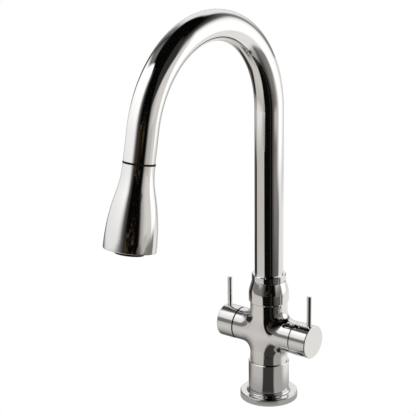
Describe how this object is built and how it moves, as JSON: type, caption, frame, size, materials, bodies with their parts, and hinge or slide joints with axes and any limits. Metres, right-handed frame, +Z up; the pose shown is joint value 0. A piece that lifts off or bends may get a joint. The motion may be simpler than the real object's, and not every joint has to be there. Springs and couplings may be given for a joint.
{
  "type": "kitchen tap",
  "caption": "Two-handle kitchen tap with a tall swivel gooseneck spout, pin levers on a cross-shaped body and a pull-down spray head that docks in the spout.",
  "frame": {"origin": "centre of the deck flange's underside, where the tap meets the deck", "axes": "+Z up, -Y the way the spout reaches, +X towards the right-hand handle as seen from the spout's side"},
  "size_m": [0.1072, 0.2625, 0.4096],
  "materials": {
    "chrome": "polished chrome plate",
    "brass": "machined brass",
    "rubber": "moulded rubber",
    "black_plastic": "black acetal",
    "bearing_plastic": "natural white acetal",
    "ceramic": "lapped alumina ceramic",
    "screw_steel": "stainless steel",
    "hose_braid": "grey nylon braid"
  },
  "bodies": {
    "tap_body": {"deck_gasket": "rubber", "deck_flange": "chrome", "pedestal_sleeve": "chrome", "cross_body": "chrome", "collar_nut": "chrome", "lower_bush": "bearing_plastic", "upper_bush": "bearing_plastic", "left_valve_body": "brass", "left_fixed_disc": "ceramic", "left_seat_seal": "rubber", "left_glide_ring": "black_plastic", "right_valve_body": "brass", "right_fixed_disc": "ceramic", "right_seat_seal": "rubber", "right_glide_ring": "black_plastic"},
    "spout": {"spout_tube": "chrome", "spout_foot": "brass", "trim_ring": "chrome", "swivel_oring": "rubber", "dock_bush": "black_plastic", "spray_hose": "hose_braid", "hose_tail": "brass"},
    "left_handle": {"left_handle_hub": "chrome", "left_lever": "chrome", "left_grub_screw": "screw_steel", "left_valve_stem": "brass", "left_moving_disc": "ceramic"},
    "right_handle": {"right_handle_hub": "chrome", "right_lever": "chrome", "right_grub_screw": "screw_steel", "right_valve_stem": "brass", "right_moving_disc": "ceramic"},
    "hose_end": {"hose_swivel": "brass"},
    "spray_head": {"head_shell": "chrome", "head_neck": "brass", "union_nut": "brass", "union_washer": "rubber", "check_valve": "bearing_plastic", "flow_core": "black_plastic", "nozzle_face": "black_plastic", "aerator": "bearing_plastic", "spray_nubs": "rubber", "bezel_plate": "black_plastic"}
  },
  "joints": [
    {"name": "spout_swivel", "type": "hinge", "parent": "tap_body", "child": "spout", "pos_m": [0, 0, 0.106], "axis": [0, 0, 1], "continuous": true},
    {"name": "left_handle_turn", "type": "hinge", "parent": "tap_body", "child": "left_handle", "pos_m": [-0.0483, 0, 0.0707], "axis": [1, 0, 0], "range_deg": [0, 90]},
    {"name": "right_handle_turn", "type": "hinge", "parent": "tap_body", "child": "right_handle", "pos_m": [0.0483, 0, 0.0707], "axis": [1, 0, 0], "range_deg": [0, 90]},
    {"name": "spray_head_pull", "type": "slide", "parent": "spout", "child": "hose_end", "axis": [0, -0.2079, -0.9781], "range_m": [0, 0.4], "stiffness_N_per_m": 6, "springref_m": -0.6},
    {"name": "spray_head_twist", "type": "hinge", "parent": "hose_end", "child": "spray_head", "pos_m": [0, -0.19476, 0.29047], "axis": [0, -0.2079, -0.9781], "continuous": true}
  ]
}
